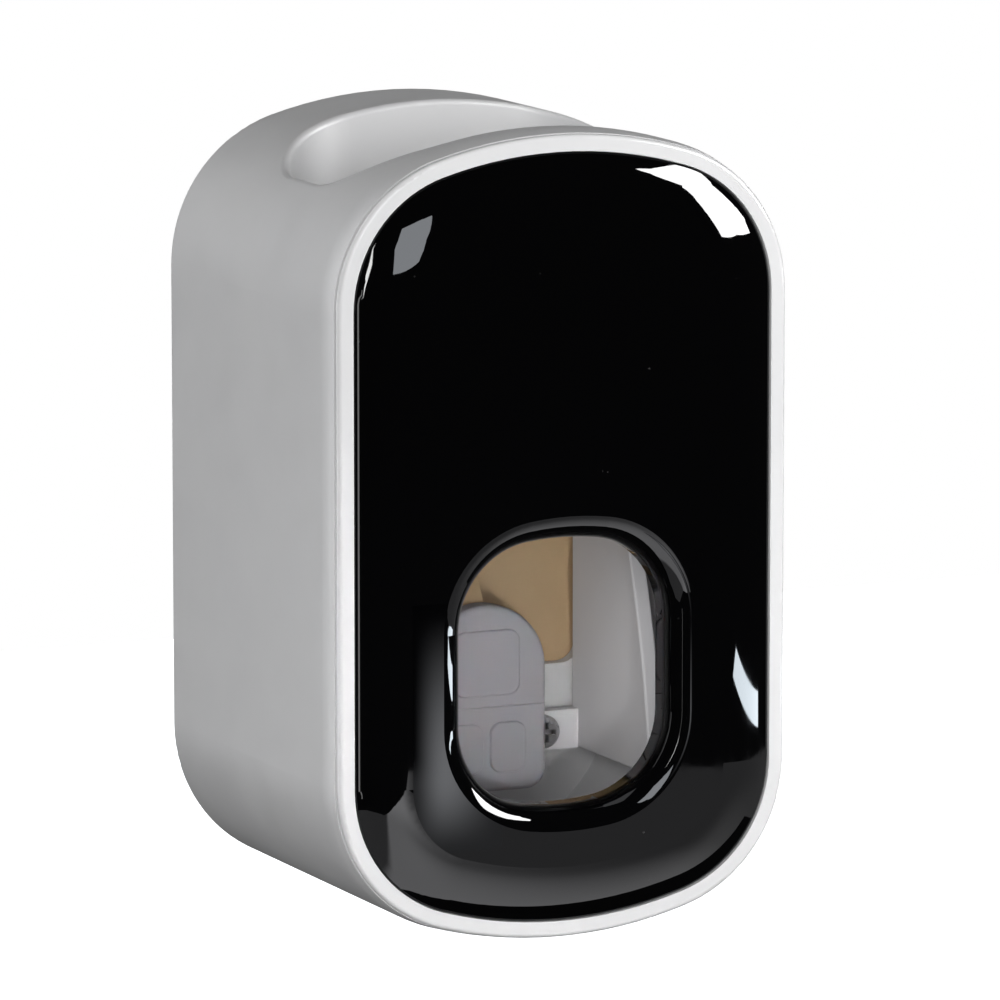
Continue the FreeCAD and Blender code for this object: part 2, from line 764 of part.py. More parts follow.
def press_pad():
    pad = arched_pad()
    low = [edge for edge in edges_along(pad, Vector(0, 1, 0)) if edge.BoundBox.ZMax < pad_crease_z]
    pad = pad.makeFillet(pad_corner, low)
    pad = pad.makeFillet(pad_edge_radius, edges_at(pad, pad_front_out))
    upper = raised_field(-pad_upper_field_x, pad_upper_field_x, pad_upper_field_foot_z, pad_upper_field_top_z)
    lower = raised_field(pad_lower_field_inner_x, pad_lower_field_outer_x,
                         pad_lower_field_foot_z, pad_lower_field_top_z)
    pad = joined([pad, upper] + both_sides(lower))
    pad = pad.makeFillet(pad_field_edge_radius, edges_at(pad, pad_field_out))
    crease = block(-pad_width, pad_width, pad_front_out - pad_crease_depth, pad_field_out + overrun,
                   pad_crease_z - pad_crease_width / 2, pad_crease_z + pad_crease_width / 2)
    peg_front = pad_back_out + arm_peg_length + seat_gap
    hole = rod_along_depth(arm_peg_radius + sliding_gap, pad_back_out - overrun, peg_front, 0, arm_foot_z)
    return pad.cut([crease, hole])


def push_lever():
    hub_half = cheek_x - hub_end_gap
    hub = rod_across(hub_radius, -hub_half, hub_half, hinge_out, hinge_z)
    half = nose_width / 2
    nose = rod_across(nose_radius, -half, half, nose_out, pump_axis_z)
    upper_arm = slanted_bar(nose_width, hinge_out, hinge_z, nose_out, pump_axis_z, upper_arm_thickness)
    arm = slanted_bar(arm_width, hinge_out, hinge_z, pad_back_out - arm_foot_drop, arm_foot_z, arm_depth)
    behind_pad = block(-pad_width, pad_width, 0, pad_back_out, pad_bottom_z, pump_axis_z)
    boss = rod_along_depth(arm_boss_radius, pad_back_out - arm_boss_length, pad_back_out, 0, arm_foot_z)
    peg = rod_along_depth(arm_peg_radius, pad_back_out, pad_back_out + arm_peg_length, 0, arm_foot_z)
    lever = joined([hub, nose, upper_arm, arm.common(behind_pad), boss, peg])
    return lever.cut(rod_across(pin_radius + sliding_gap, -cheek_x, cheek_x, hinge_out, hinge_z))


def piston():
    radius = bore_radius - sliding_gap
    back = piston_front_out - piston_length
    head = rod_along_depth(radius, back, piston_front_out, 0, pump_axis_z)
    groove_front = piston_front_out - piston_groove_inset
    groove = rod_along_depth(bore_radius, groove_front - piston_groove_width, groove_front, 0, pump_axis_z)
    core = rod_along_depth(radius - piston_groove_depth, back, piston_front_out, 0, pump_axis_z)
    rod = rod_along_depth(rod_radius, button_front_out, back, 0, pump_axis_z)
    stub_back = button_front_out - rod_stub_length
    stub = rod_along_depth(rod_stub_radius, stub_back, button_front_out, 0, pump_axis_z)
    return joined([head.cut(groove.cut(core)), rod, stub])


def piston_seal():
    middle = piston_front_out - piston_groove_inset - piston_groove_width / 2
    return seal_ring(piston_seal_section, bore_radius - sliding_gap / 2, middle)


def rod_button():
    back = button_front_out - button_thickness
    button = rod_along_depth(button_radius, back, button_front_out, 0, pump_axis_z)
    button = button.makeFillet(button_edge_radius, edges_at(button, back))
    hole_back = button_front_out - rod_stub_length - seat_gap
    hole = rod_along_depth(rod_stub_radius + sliding_gap, hole_back, button_front_out, 0, pump_axis_z)
    return button.cut(hole)


def biarc(start, start_way, end, end_way):
    """Two arcs that leave one point and reach another along given directions."""
    chord = end - start
    ways = start_way + end_way
    spread = 2 * (1 - start_way.dot(end_way))
    lean = chord.dot(ways)
    reach = (math.sqrt(lean ** 2 + spread * chord.dot(chord)) - lean) / spread
    middle = (start + end) / 2 + (start_way - end_way) * (reach / 2)
    arcs = []
    for first, last, way in ((start, middle, start_way), (end, middle, end_way * -1)):
        line = last - first
        ahead = line / line.Length
        rise = way - ahead * way.dot(ahead)
        bulge = line.Length / 2 * math.tan(way.getAngle(ahead) / 2)
        arcs.append(Part.Arc(first, (first + last) / 2 + rise.normalize() * bulge, last).toShape())
    return arcs


def return_spring():
    """Open coil on the piston rod, one wire swept along quarter-turn biarcs."""
    coil_start = button_front_out + spring_wire_radius + spring_end_gap
    coil_length = barrel_back_out - spring_wire_radius - spring_end_gap - coil_start
    quarters = round(spring_turns * 4)

    def on_coil(turns):
        angle = turns * 2 * math.pi
        spot = place(spring_radius * math.cos(angle), coil_start + coil_length * turns / spring_turns,
                     pump_axis_z + spring_radius * math.sin(angle))
        around = 2 * math.pi * spring_radius
        way = Vector(-around * math.sin(angle), -coil_length / spring_turns, around * math.cos(angle))
        return spot, way.normalize()

    edges = []
    for quarter in range(quarters):
        edges += biarc(*on_coil(quarter / 4), *on_coil((quarter + 1) / 4))
    route = Part.Wire(Part.__sortEdges__(edges))
    start, way = on_coil(0)
    wire = Part.Wire(Part.makeCircle(spring_wire_radius, start, way))
    spots = route.discretize(round(spring_turns * spring_checks_per_turn))
    half_turn = spring_checks_per_turn // 2
    nearest = min((one - other).Length for number, one in enumerate(spots)
                  for other in spots[number + half_turn:])
    print("least gap of the spring to itself:", round(nearest - 2 * spring_wire_radius, 2), "mm")
    return route.makePipeShell([wire], True, False)


def front_bezel():
    bezel_back = front_out + cover_gap
    bezel_front = front_out + bezel_proud
    seat = panel_back_out - tape_thickness
    flange = body_block(bezel_inset, bezel_back, bezel_front)
    flange = flange.makeFillet(bezel_edge_radius, edges_at(flange, bezel_front))
    shoulder = body_block(shoulder_inset, web_back, bezel_back)
    skirt_back = web_back - skirt_depth
    skirt = body_block(skirt_inset, skirt_back, web_back)
    skirt = skirt.cut(body_block(skirt_inset + skirt_wall, skirt_back - overrun, web_back + overrun))
    bosses = [rod_along_depth(magnet_post_radius, skirt_back, seat, x, z)
              for x, z in corner_places(magnet_reach)]
    opening = body_block(web_inner_inset, web_back - overrun, bezel_front + overrun)
    panel_seat = body_block(panel_inset - panel_edge_gap, seat, bezel_front + overrun)
    bezel = joined([joined([flange, shoulder]).cut([opening, panel_seat]), skirt] + bosses)
    pocket_front = skirt_back + magnet_thickness + magnet_floor_gap
    pockets = [rod_along_depth(magnet_radius + magnet_pocket_gap, skirt_back - overrun, pocket_front, x, z)
               for x, z in corner_places(magnet_reach)]
    return bezel.cut(pockets).removeSplitter()


def panel_tape():
    tape_back = panel_back_out - tape_thickness
    ring = body_block(tape_outer_inset, tape_back, panel_back_out)
    return ring.cut(body_block(tape_inner_inset, tape_back - overrun, panel_back_out + overrun))


def panel_dome():
    """Block with a flat face whose margin rolls back all round, past the panel's edge."""
    wide = body_block(panel_inset - panel_roll_radius + panel_roll_width,
                      panel_front_out - panel_roll_radius - overrun, panel_front_out)
    return wide.makeFillet(panel_roll_radius, edges_at(wide, panel_front_out))


def front_panel():
    plate = body_block(panel_inset, panel_back_out, panel_front_out)
    pocket = body_block(panel_pocket_inset, panel_back_out - overrun, panel_front_out - panel_wall)
    collar = mouth_block(lip_radius + lip_wall, panel_back_out - overrun, panel_front_out)
    lip = mouth_block(lip_wall, lip_back_out, panel_front_out - panel_wall)
    panel = joined([plate.cut(pocket.cut(collar)), lip])
    panel = panel.cut(mouth_block(0, lip_back_out - overrun, panel_front_out + overrun))
    reach = mouth_height / 2 + overrun
    mouth_edges = [edge for edge in edges_at(panel, panel_front_out)
                   if mouth_z - reach < edge.BoundBox.ZMin and edge.BoundBox.ZMax < mouth_z + reach]
    panel = panel.makeFillet(lip_radius, mouth_edges).common(panel_dome())
    return panel.makeFillet(panel_edge_radius, edges_at(panel, panel_edge_out))


def magnets(out_low):
    return Part.makeCompound([rod_along_depth(magnet_radius, out_low, out_low + magnet_thickness, x, z)
                              for x, z in corner_places(magnet_reach)])


def housing_magnets():
    return magnets(post_front_out - magnet_thickness)


def cover_magnets():
    return magnets(web_back - skirt_depth)


pieces = [
    adhesive_pad, wall_plate, housing_shell, mechanism_frame, mechanism_screws, pump_cylinder, cylinder_plug,
    plug_seal, inlet_collar, collar_ring, inlet_valve_flap, outlet_valve, nozzle_tip, lever_pin, pin_clips,
    lever_bumper, push_lever, press_pad, piston, piston_seal, rod_button, return_spring, housing_magnets,
    front_bezel, panel_tape, front_panel, cover_magnets,
]
os.makedirs("parts", exist_ok=True)
for piece in pieces:
    shape = piece()
    shape.exportStep("parts/" + piece.__name__ + ".step")
    print(piece.__name__, "valid" if shape.isValid() else "NOT VALID", len(shape.Solids), "solids",
          round(shape.Volume / 1000, 3), "cm3")
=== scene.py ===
import math
import bpy
import numpy as np
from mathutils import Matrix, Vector


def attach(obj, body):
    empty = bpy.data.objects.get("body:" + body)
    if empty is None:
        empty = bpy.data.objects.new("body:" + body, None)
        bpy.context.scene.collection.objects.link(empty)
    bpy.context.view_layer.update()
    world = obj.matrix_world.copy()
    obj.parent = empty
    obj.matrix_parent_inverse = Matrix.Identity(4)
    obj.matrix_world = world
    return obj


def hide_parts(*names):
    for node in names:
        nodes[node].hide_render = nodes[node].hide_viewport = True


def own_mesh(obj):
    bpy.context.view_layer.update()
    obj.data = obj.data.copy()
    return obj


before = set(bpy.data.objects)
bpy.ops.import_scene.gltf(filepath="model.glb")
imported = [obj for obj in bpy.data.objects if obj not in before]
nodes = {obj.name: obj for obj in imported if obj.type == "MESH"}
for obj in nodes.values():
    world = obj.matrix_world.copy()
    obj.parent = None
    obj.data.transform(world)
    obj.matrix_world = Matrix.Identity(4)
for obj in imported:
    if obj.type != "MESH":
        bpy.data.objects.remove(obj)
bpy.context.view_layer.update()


# Adhesive pad: a closed-cell foam sheet with glue on both faces, die-cut with round corners.
# It sticks the wall plate to a tile or a mirror. The cut cells show as fine pits.

def new_finish(name):
    """An empty node material: returns the material, its node maker, its linker and its shader."""
    material = bpy.data.materials.new(name)
    material.use_nodes = True
    tree = material.node_tree

    def make(kind, **settings):
        """A new node; each setting is one of its own properties or the value of one of its sockets."""
        node = tree.nodes.new(kind)
        for key, value in settings.items():
            if hasattr(node, key):
                setattr(node, key, value)
            else:
                node.inputs[key].default_value = value
        return node

    return material, make, tree.links.new, tree.nodes["Principled BSDF"]


def object_noise(make, link, size, detail=2.0, stretch=(1.0, 1.0, 1.0)):
    """Noise on the object's own coordinates, with lumps about `size` metres across before the stretch."""
    place = make("ShaderNodeTexCoord")
    scaled = make("ShaderNodeMapping", Scale=stretch)
    noise = make("ShaderNodeTexNoise", Scale=1.0 / size, Detail=detail)
    link(place.outputs["Object"], scaled.inputs["Vector"])
    link(scaled.outputs["Vector"], noise.inputs["Vector"])
    return noise.outputs["Fac"]


def spread(make, link, value, low=0.0, high=1.0, start=0.3, end=0.7):
    """Stretches the part of a noise's range from start to end, so that it runs from low to high."""
    change = make("ShaderNodeMapRange")
    change.inputs["From Min"].default_value = start
    change.inputs["From Max"].default_value = end
    change.inputs["To Min"].default_value = low
    change.inputs["To Max"].default_value = high
    link(value, change.inputs["Value"])
    return change.outputs["Result"]


def tint(make, link, shader, value, dark, light):
    """A base colour between two shades, led by a value from 0 to 1."""
    mix = make("ShaderNodeMix", data_type="RGBA")
    shades = {socket.name: socket for socket in mix.inputs if socket.type == "RGBA"}
    shades["A"].default_value = (*dark, 1.0)
    shades["B"].default_value = (*light, 1.0)
    link(value, mix.inputs["Factor"])
    mixed = [socket for socket in mix.outputs if socket.type == "RGBA"][0]
    link(mixed, shader.inputs["Base Color"])


def dent(make, link, shader, value, depth):
    """Bump of a given depth in metres, led by a noise or a pattern."""
    bump = make("ShaderNodeBump", Strength=1.0, Distance=depth)
    link(value, bump.inputs["Height"])
    link(bump.outputs["Normal"], shader.inputs["Normal"])


def wear(name, finish):
    """Gives a CAD node its finish."""
    node = nodes[name]
    node.data.materials.clear()
    node.data.materials.append(finish)


def foam(name, dark, light, cell):
    """Closed-cell foam: round cells as pits, and a mottle in its colour that is a few cells wide."""
    mottle_size = 3 * cell
    pit_depth = 0.12 * cell
    matt = 0.86
    material, make, link, shader = new_finish(name)
    place = make("ShaderNodeTexCoord")
    cells = make("ShaderNodeTexVoronoi", Scale=1.0 / cell)
    link(place.outputs["Object"], cells.inputs["Vector"])
    mottle = object_noise(make, link, mottle_size)
    tint(make, link, shader, spread(make, link, mottle), dark, light)
    shader.inputs["Roughness"].default_value = matt
    dent(make, link, shader, cells.outputs["Distance"], pit_depth)
    return material


white_foam = foam("white_foam", dark=(0.60, 0.60, 0.57), light=(0.72, 0.72, 0.69), cell=0.00045)
wear("adhesive_pad", white_foam)


# Wall plate: a tan moulded plastic plate with one wide and two narrow hooks that turn up.
# The adhesive pad holds it to the wall and the housing hangs on its hooks.

def moulded(name, dark, light, gloss, grain, grain_depth, bleed=0.0):
    """Moulded plastic: faint flow in its colour, a fine spark-eroded grain and uneven gloss.
    With bleed, light wanders a little way under its skin."""
    flow_size = 0.018
    patch_size = 0.006
    gloss_drift = 0.05
    bleed_depth = 0.002
    material, make, link, shader = new_finish(name)
    flow = object_noise(make, link, flow_size, detail=3.0)
    tint(make, link, shader, spread(make, link, flow), dark, light)
    patches = object_noise(make, link, patch_size, detail=4.0)
    link(spread(make, link, patches, gloss - gloss_drift, gloss + gloss_drift), shader.inputs["Roughness"])
    if bleed:
        shader.inputs["Subsurface Weight"].default_value = bleed
        shader.inputs["Subsurface Scale"].default_value = bleed_depth
    dent(make, link, shader, object_noise(make, link, grain, detail=1.0), grain_depth)
    return material


tan_plastic = moulded(
    "tan_plastic", dark=(0.53, 0.38, 0.225), light=(0.57, 0.41, 0.25),
    gloss=0.46, grain=0.0004, grain_depth=0.000008)
wear("wall_plate", tan_plastic)


# Housing: one off-white shell with an arched outline, its front edge rolled in, a partition near the back,
# a wide hole with a sleeve in its top, and posts for the magnets. Injection moulded with a satin outside.

satin_white = moulded(
    "satin_white", dark=(0.72, 0.72, 0.73), light=(0.75, 0.75, 0.755),
    gloss=0.44, grain=0.00022, grain_depth=0.000006)
wear("housing_shell", satin_white)


# Mechanism frame: two cheeks with round lobes, a deck for the pump and two bridges, all one white moulding.
# It is screwed to the housing's bosses and carries the pump, the collar and the hinge pin.

frame_white = moulded(
    "frame_white", dark=(0.83, 0.82, 0.84), light=(0.87, 0.86, 0.88),
    gloss=0.36, grain=0.0005, grain_depth=0.000006)
wear("mechanism_frame", frame_white)


# Screws: six small cross-head screws of plated steel.
# Four hold the frame to the housing and two hold the pump under the deck.

def turned_steel(name, dark, light, gloss, along=(1.0, 1.0, 1.0)):
    """Drawn, turned or plated metal: streaks in colour and in gloss, drawn out along the axis whose factor in
    `along` is small."""
    streak_size = 0.0006
    streak_depth = 0.000004
    material, make, link, shader = new_finish(name)
    streaks = object_noise(make, link, streak_size, detail=3.0, stretch=along)
    tint(make, link, shader, spread(make, link, streaks), dark, light)
    shader.inputs["Metallic"].default_value = 1.0
    link(spread(make, link, streaks, gloss - 0.06, gloss + 0.08), shader.inputs["Roughness"])
    dent(make, link, shader, streaks, streak_depth)
    return material


plated_steel = turned_steel("plated_steel", dark=(0.54, 0.54, 0.55), light=(0.66, 0.66, 0.67), gloss=0.30)
wear("mechanism_screws", plated_steel)


# Pump: a milky barrel with an inlet boss above and an outlet boss below, closed in front by a plug.
# Moulded in natural polypropylene; the plug is white and carries a rubber ring in its groove.

def milky(name, light, gloss):
    """Natural polypropylene: lets light through but blurs it, with faint clouds."""
    cloud_size = 0.004
    grain = 0.0006
    grain_depth = 0.000005
    gloss_drift = 0.06
    shade = tuple(0.9 * part for part in light)
    material, make, link, shader = new_finish(name)
    clouds = object_noise(make, link, cloud_size, detail=3.0)
    tint(make, link, shader, spread(make, link, clouds), shade, light)
    shader.inputs["Transmission Weight"].default_value = 0.55
    shader.inputs["IOR"].default_value = 1.49
    link(spread(make, link, clouds, gloss - gloss_drift, gloss + gloss_drift), shader.inputs["Roughness"])
    dent(make, link, shader, object_noise(make, link, grain, detail=1.0), grain_depth)
    return material


def rubber(name, dark, light, gloss, bleed=0.0):
    """Moulded rubber or silicone: a soft sheen, dusty patches and a matt grain."""
    dust_size = 0.003
    grain = 0.00025
    grain_depth = 0.000006
    gloss_drift = 0.06
    bleed_depth = 0.0015
    material, make, link, shader = new_finish(name)
    dust = object_noise(make, link, dust_size, detail=4.0)
    tint(make, link, shader, spread(make, link, dust), dark, light)
    link(spread(make, link, dust, gloss - gloss_drift, gloss + gloss_drift), shader.inputs["Roughness"])
    shader.inputs["Sheen Weight"].default_value = 0.15
    shader.inputs["Sheen Roughness"].default_value = 0.4
    if bleed:
        shader.inputs["Subsurface Weight"].default_value = bleed
        shader.inputs["Subsurface Scale"].default_value = bleed_depth
    dent(make, link, shader, object_noise(make, link, grain, detail=1.0), grain_depth)
    return material


natural_polypropylene = milky("natural_polypropylene", light=(0.80, 0.82, 0.83), gloss=0.24)
wear("pump_cylinder", natural_polypropylene)
wear("cylinder_plug", frame_white)
black_rubber = rubber("black_rubber", dark=(0.020, 0.020, 0.021), light=(0.034, 0.034, 0.035), gloss=0.52)
wear("plug_seal", black_rubber)


# Collar: a soft cup that grips a neck set down in it, and a ring welded to the deck that holds its flange.
# The cup, the flap valve below it and the duckbill in the nozzle are white silicone.

silicone = rubber("white_silicone", dark=(0.66, 0.66, 0.64), light=(0.74, 0.74, 0.72), gloss=0.50, bleed=0.25)
wear("inlet_collar", silicone)
wear("inlet_valve_flap", silicone)
wear("outlet_valve", silicone)
wear("collar_ring", frame_white)
wear("nozzle_tip", frame_white)


# Hinge pin: a drawn steel rod across the cheeks with a groove near each end for an open clip.
# The rubber bumper behind the lever's nose is glued to the frame's upper bridge.

drawn_steel = turned_steel(
    "drawn_steel", dark=(0.56, 0.56, 0.57), light=(0.68, 0.68, 0.69), gloss=0.24, along=(0.08, 1.0, 1.0))
blued_steel = turned_steel("blued_steel", dark=(0.20, 0.20, 0.22), light=(0.30, 0.30, 0.33), gloss=0.34)
wear("lever_pin", drawn_steel)
wear("pin_clips", blued_steel)
wear("lever_bumper", black_rubber)


# Push lever: a hub on the pin, a nose above it and a slanting arm below it, moulded in one in tan plastic.
# Its peg carries the press pad, which is glued on: greyish plastic, a little translucent, with raised fields.

pad_grey = moulded(
    "pad_grey", dark=(0.375, 0.365, 0.39), light=(0.39, 0.38, 0.405),
    gloss=0.42, grain=0.0007, grain_depth=0.000003, bleed=0.1)
wear("push_lever", tan_plastic)
wear("press_pad", pad_grey)


# Plunger: the piston with its rod, a rubber ring in its groove and a button pressed on the rod's end.
# All but the ring are moulded in white plastic. It slides in the pump's barrel.

wear("piston", frame_white)
wear("piston_seal", black_rubber)
wear("rod_button", frame_white)


# Return spring: an open coil of bright steel wire round the rod, wound on a mandrel.
# It stands between the barrel and the button and closes up as the button comes forward.

spring_wire = turned_steel(
    "spring_wire", dark=(0.58, 0.58, 0.59), light=(0.72, 0.72, 0.73), gloss=0.22, along=(1.0, 0.2, 1.0))
wear("return_spring", spring_wire)


def coil_spring(name, middle_z, start_y, end_y, radius, wire, turns, steps, sides):
    """A round wire along a helix: the middle runs round the Y axis at a fixed radius while y changes evenly,
    and a ring of points turns about it, square to its run. Both ends are closed flat."""
    turn = np.linspace(0.0, turns * 2 * np.pi, round(turns * steps) + 1)[:, None]
    out = np.concatenate((np.cos(turn), np.zeros_like(turn), np.sin(turn)), axis=1)
    shift = np.linspace(start_y, end_y, len(turn))[:, None] * np.array([[0.0, 1.0, 0.0]])
    middle = radius * out + shift + np.array([[0.0, 0.0, middle_z]])
    climb = (end_y - start_y) / (turns * 2 * np.pi)
    run = np.concatenate((-radius * np.sin(turn), np.full_like(turn, climb), radius * np.cos(turn)), axis=1)
    run /= np.linalg.norm(run, axis=1, keepdims=True)
    across = np.cross(run, out)
    ring = np.linspace(0.0, 2 * np.pi, sides, endpoint=False)
    points = (middle[:, None] + wire * np.cos(ring)[None, :, None] * out[:, None]
              + wire * np.sin(ring)[None, :, None] * across[:, None]).reshape(-1, 3)
    first = sides * np.arange(len(turn) - 1)[:, None]
    here = first + np.arange(sides)[None, :]
    beside = first + (np.arange(sides)[None, :] + 1) % sides
    skin = np.stack((here, beside, beside + sides, here + sides), axis=-1).reshape(-1, 4)
    start_cap = np.arange(sides)[::-1]
    end_cap = np.arange(len(points) - sides, len(points))
    mesh = bpy.data.meshes.new(name)
    mesh.from_pydata(points.tolist(), [], [*skin.tolist(), start_cap.tolist(), end_cap.tolist()])
    mesh.shade_smooth()
    coil = bpy.data.objects.new(name, mesh)
    bpy.context.scene.collection.objects.link(coil)
    return coil


coil = coil_spring(
    "spring_coil", middle_z=0.017, start_y=-0.01995, end_y=-0.02605, radius=0.007, wire=0.0004,
    turns=3.5, steps=64, sides=16)
coil.data.materials.append(spring_wire)
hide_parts("return_spring")
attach(coil, "housing")
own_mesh(coil)


# Magnets: eight nickel-plated discs, four glued into the housing's posts and four into the bezel's bosses.
# They hold the front cover on.

nickel = turned_steel("nickel_plate", dark=(0.60, 0.59, 0.56), light=(0.70, 0.69, 0.66), gloss=0.17)
wear("housing_magnets", nickel)
wear("cover_magnets", nickel)


# Bezel: a thin gloss white plastic ring that frames the panel, with a skirt that enters the housing.
# Moulded with a polished face; a strip of black foam tape bonds the panel to it.

gloss_white = moulded(
    "gloss_white", dark=(0.85, 0.85, 0.86), light=(0.88, 0.88, 0.885),
    gloss=0.17, grain=0.0009, grain_depth=0.000003)
foam_tape = foam("black_foam_tape", dark=(0.022, 0.022, 0.023), light=(0.034, 0.034, 0.035), cell=0.0003)
wear("front_bezel", gloss_white)
wear("panel_tape", foam_tape)


# Front panel: a domed black panel whose margin rolls back and whose mouth has a round lip.
# Moulded in black plastic with a piano-gloss face, which shows faint hairlines and a little dust.

def piano_black():
    """Black gloss plastic: nearly a mirror, broken only by hairline scratches and specks of dust."""
    black = (0.0008, 0.0008, 0.0010)
    dusty = (0.03, 0.03, 0.03)
    speck_size = 0.0011
    hairline_size = 0.0016
    swell_size = 0.011
    swell_depth = 0.000001
    material, make, link, shader = new_finish("piano_black")
    specks = object_noise(make, link, speck_size, detail=1.0)
    tint(make, link, shader, spread(make, link, specks, start=0.80, end=0.86), black, dusty)
    hairlines = object_noise(make, link, hairline_size, detail=3.0, stretch=(1.0, 1.0, 0.05))
    link(spread(make, link, hairlines, 0.008, 0.03), shader.inputs["Roughness"])
    shader.inputs["IOR"].default_value = 1.50
    dent(make, link, shader, object_noise(make, link, swell_size), swell_depth)
    return material


wear("front_panel", piano_black())


# Studio: a pale floor well below the hanging part, soft boxes that show in the gloss, softer lights that fill
# the shade, a white surround, and the camera at the photograph's angle.

def floor_finish():
    """Pale matt floor with a faint mottle, lit from within so that it stays as pale as the surround."""
    mottle_size = 0.05
    material, make, link, shader = new_finish("pale_floor")
    mottle = object_noise(make, link, mottle_size, detail=4.0)
    tint(make, link, shader, spread(make, link, mottle), (0.50, 0.50, 0.51), (0.54, 0.54, 0.54))
    shader.inputs["Roughness"].default_value = 0.9
    shader.inputs["Emission Color"].default_value = (0.97, 0.98, 1.0, 1.0)
    shader.inputs["Emission Strength"].default_value = 1.25
    return material


def staged_face(name, corners, finish, faces=None):
    """A flat piece of the studio, with one face through its corners unless faces are given.
    It doesn't light the soft shading."""
    mesh = bpy.data.meshes.new(name)
    mesh.from_pydata(corners, [], faces or [list(range(len(corners)))])
    mesh.materials.append(finish)
    thing = bpy.data.objects.new(name, mesh)
    thing.visible_diffuse = False
    bpy.context.scene.collection.objects.link(thing)
    return thing


floor_z = -0.25
floor_reach = 1.2
floor_corners = [
    (-floor_reach, -floor_reach, floor_z), (floor_reach, -floor_reach, floor_z),
    (floor_reach, floor_reach, floor_z), (-floor_reach, floor_reach, floor_z)]
floor = staged_face("floor", floor_corners, floor_finish())
floor.visible_glossy = False


def beyond(spot, azimuth, elevation, distance):
    """The point a distance away from a spot: azimuth 0 is straight in front, positive to the right."""
    a = math.radians(azimuth)
    e = math.radians(elevation)
    way = Vector((math.sin(a) * math.cos(e), -math.cos(a) * math.cos(e), math.sin(e)))
    return Vector(spot) + distance * way


def new_glow(name, colour):
    """What new_finish returns, with a shader that is black but for its own light."""
    material, make, link, shader = new_finish(name)
    shader.inputs["Base Color"].default_value = (0.0, 0.0, 0.0, 1.0)
    shader.inputs["Emission Color"].default_value = (*colour, 1.0)
    return material, make, link, shader


def glow(name, radiance, colour):
    """A glowing finish of one radiance."""
    material, _, _, shader = new_glow(name, colour)
    shader.inputs["Emission Strength"].default_value = radiance
    return material


def places(make, link):
    """The object's own coordinates, one by one."""
    place = make("ShaderNodeTexCoord")
    parts = make("ShaderNodeSeparateXYZ")
    link(place.outputs["Object"], parts.inputs["Vector"])
    return parts.outputs["X"], parts.outputs["Y"], parts.outputs["Z"]


def ramp(make, link, value, start, end, low, high):
    """A smooth change from low to high between two places; a level is a number or another ramp's result."""
    change = make("ShaderNodeMapRange", interpolation_type="SMOOTHSTEP")
    change.inputs["From Min"].default_value = start
    change.inputs["From Max"].default_value = end
    link(value, change.inputs["Value"])
    for socket, level in (("To Min", low), ("To Max", high)):
        if isinstance(level, float):
            change.inputs[socket].default_value = level
        else:
            link(level, change.inputs[socket])
    return change.outputs["Result"]


def haze():
    """A glow that grows downwards and fades to both sides, at its foot to the level of the floor."""
    floor_level = 0.42
    brightest = 3.2
    material, make, link, shader = new_glow("soft_haze", (0.93, 0.95, 1.0))
    across, _, height = places(make, link)
    beside = ramp(make, link, height, start=-0.057, end=-0.062, low=0.0, high=floor_level)
    foot = ramp(make, link, height, start=-0.073, end=-0.061, low=floor_level, high=brightest)
    down = ramp(make, link, height, start=-0.034, end=-0.060, low=0.0, high=foot)
    right = ramp(make, link, across, start=0.051, end=0.041, low=beside, high=down)
    left = ramp(make, link, across, start=0.0355, end=0.041, low=beside, high=right)
    link(left, shader.inputs["Emission Strength"])
    return material


def floor_glow():
    """The floor as gloss shows it: brightest in the middle, with an edge on the left, and less bright to the
    right."""
    left_level = 0.45
    left_start = -0.105
    left_end = -0.075
    material, make, link, shader = new_glow("floor_glow", (0.97, 0.97, 1.0))
    across, depth, _ = places(make, link)
    near_right = ramp(make, link, across, start=0.02, end=0.34, low=2.1, high=0.38)
    near = ramp(make, link, across, start=left_start, end=left_end, low=left_level, high=near_right)
    far_right = ramp(make, link, across, start=0.14, end=0.40, low=3.0, high=0.40)
    far = ramp(make, link, across, start=left_start, end=left_end, low=left_level, high=far_right)
    whole = ramp(make, link, depth, start=-0.95, end=-0.65, low=far, high=near)
    link(whole, shader.inputs["Emission Strength"])
    return material


def light_card(name, corners, finish, faces=None):
    """A glowing card between its corners, which shows in gloss only."""
    card = staged_face(name, corners, finish, faces)
    card.visible_camera = False
    card.visible_shadow = False


def soft_box(name, spot, directions, radiance, colour):
    """A light card that a spot on the part sees, with a corner in each direction of azimuth and elevation."""
    reach = 0.95
    corners = [beyond(spot, azimuth, elevation, reach) for azimuth, elevation in directions]
    light_card(name, corners, glow(f"{name}_glow", radiance, colour))


plain_white = (1.0, 1.0, 1.0)
cool_white = (0.96, 0.97, 1.0)
part_front = (0.0, -0.06, 0.0)
soft_box(
    "right_card", (0.020, -0.063, 0.045),
    [(38.5, 0.8), (40.0, 17.0), (38.5, 32.0), (54.0, 37.0), (59.0, 28.0),
     (64.0, 20.0), (70.0, 12.0), (69.5, 7.5), (53.5, 5.5)],
    radiance=26.0, colour=plain_white)
soft_box(
    "front_card", (-0.024, -0.062, 0.043),
    [(-7.0, 21.5), (8.5, 19.5), (12.6, 5.0), (16.4, -2.7), (-2.0, 2.0), (-6.8, 12.0)],
    radiance=5.2, colour=(0.90, 0.94, 1.0))
soft_box(
    "left_card", (-0.030, -0.061, 0.039),
    [(-23.0, 20.0), (-24.6, 12.5), (-26.6, 5.0), (-27.6, -3.0), (-25.6, 3.0), (-23.5, 11.5)],
    radiance=19.0, colour=plain_white)
soft_box(
    "left_line", (-0.031, -0.060, 0.0),
    [(-28.6, 4.0), (-29.4, 4.0), (-29.4, -16.0), (-28.6, -16.0)], radiance=3.2, colour=plain_white)

